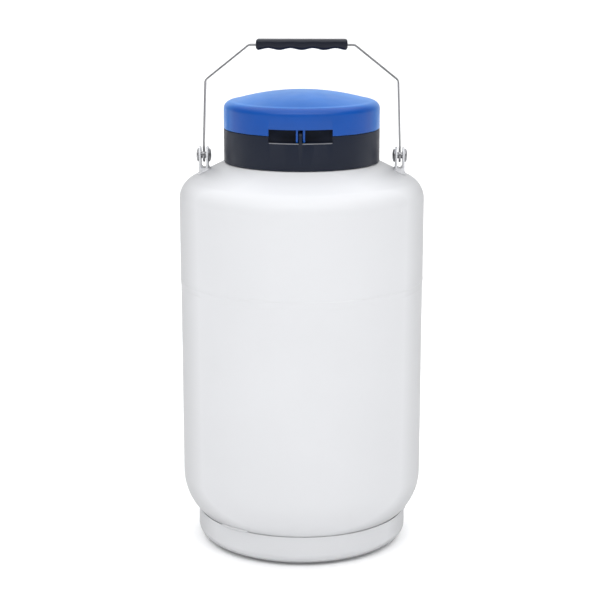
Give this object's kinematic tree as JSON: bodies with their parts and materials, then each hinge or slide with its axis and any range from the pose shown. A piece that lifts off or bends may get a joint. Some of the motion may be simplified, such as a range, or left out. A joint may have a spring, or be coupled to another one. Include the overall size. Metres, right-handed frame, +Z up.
{
  "type": "liquid nitrogen dewar",
  "caption": "Portable vacuum-insulated vessel for liquid nitrogen, with a hinged lid, a strap bail with a moulded grip, a foam neck plug and hanging canisters.",
  "frame": {"origin": "centre of the foot's underside", "axes": "+Z up through the neck, -Y out of the padlock recess at the front, +X to the right seen from the front"},
  "size_m": [0.3, 0.3, 0.627],
  "materials": {
    "white_paint": "gloss",
    "bare_aluminium": "satin",
    "glass_fibre": "satin",
    "insulation": "satin",
    "fleece": "matte",
    "black_plastic": "satin",
    "blue_plastic": "gloss",
    "foam": "matte",
    "white_plastic": "satin",
    "steel": "satin",
    "grip_rubber": "satin",
    "stainless_steel": "satin",
    "sleeve_plastic": "satin"
  },
  "bodies": {
    "vessel": {"adsorbent_pouch": "fleece", "clevis_left": "white_paint", "clevis_right": "white_paint", "collar": "black_plastic", "collar_screw_1": "steel", "collar_screw_2": "steel", "collar_screw_3": "steel", "foot_pan": "white_paint", "foot_weld_1": "white_paint", "foot_weld_2": "white_paint", "foot_weld_3": "white_paint", "girth_weld": "white_paint", "hinge_pin": "steel", "index_ring": "white_plastic", "inner_vessel_lower": "bare_aluminium", "inner_vessel_upper": "bare_aluminium", "insulation_wrap": "insulation", "neck_flange": "bare_aluminium", "neck_tube": "glass_fibre", "outer_shell_lower": "white_paint", "outer_shell_upper": "white_paint", "pivot_bolt_left": "steel", "pivot_bolt_right": "steel", "pivot_nut_left": "steel", "pivot_nut_right": "steel", "vacuum_port": "bare_aluminium", "vacuum_seal_plug": "bare_aluminium"},
    "lid": {"lid": "blue_plastic", "lid_liner": "foam"},
    "bail": {"bail_strap": "steel", "grip": "grip_rubber"},
    "plug": {"neck_plug": "foam", "plug_cap": "white_plastic", "plug_knob": "white_plastic"},
    "port_cap": {"vacuum_port_cap": "black_plastic"},
    "canister_1": {"canister_1_cup": "stainless_steel", "canister_1_rod": "stainless_steel", "canister_1_sleeve": "sleeve_plastic"},
    "canister_2": {"canister_2_cup": "stainless_steel", "canister_2_rod": "stainless_steel", "canister_2_sleeve": "sleeve_plastic"},
    "canister_3": {"canister_3_cup": "stainless_steel", "canister_3_rod": "stainless_steel", "canister_3_sleeve": "sleeve_plastic"},
    "canister_4": {"canister_4_cup": "stainless_steel", "canister_4_rod": "stainless_steel", "canister_4_sleeve": "sleeve_plastic"},
    "canister_5": {"canister_5_cup": "stainless_steel", "canister_5_rod": "stainless_steel", "canister_5_sleeve": "sleeve_plastic"},
    "canister_6": {"canister_6_cup": "stainless_steel", "canister_6_rod": "stainless_steel", "canister_6_sleeve": "sleeve_plastic"}
  },
  "joints": [
    {"name": "lid_hinge", "type": "hinge", "parent": "vessel", "child": "lid", "pos_m": [0, 0.1008, 0.52], "axis": [-1, 0, 0], "range_deg": [0, 22]},
    {"name": "bail_hinge", "type": "hinge", "parent": "vessel", "child": "bail", "pos_m": [0, 0, 0.486], "axis": [1, 0, 0], "range_deg": [-96, 96]},
    {"name": "plug_slide", "type": "slide", "parent": "vessel", "child": "plug", "axis": [0, 0, 1], "range_m": [0, 0.024]},
    {"name": "port_cap_slide", "type": "slide", "parent": "vessel", "child": "port_cap", "axis": [0.1879, 0.403, 0.8957], "range_m": [0, 0.012]},
    {"name": "canister_1_slide", "type": "slide", "parent": "vessel", "child": "canister_1", "axis": [0, 0, 1], "range_m": [0, 0.04]},
    {"name": "canister_2_slide", "type": "slide", "parent": "vessel", "child": "canister_2", "axis": [0, 0, 1], "range_m": [0, 0.04]},
    {"name": "canister_3_slide", "type": "slide", "parent": "vessel", "child": "canister_3", "axis": [0, 0, 1], "range_m": [0, 0.04]},
    {"name": "canister_4_slide", "type": "slide", "parent": "vessel", "child": "canister_4", "axis": [0, 0, 1], "range_m": [0, 0.04]},
    {"name": "canister_5_slide", "type": "slide", "parent": "vessel", "child": "canister_5", "axis": [0, 0, 1], "range_m": [0, 0.04]},
    {"name": "canister_6_slide", "type": "slide", "parent": "vessel", "child": "canister_6", "axis": [0, 0, 1], "range_m": [0, 0.04]}
  ]
}
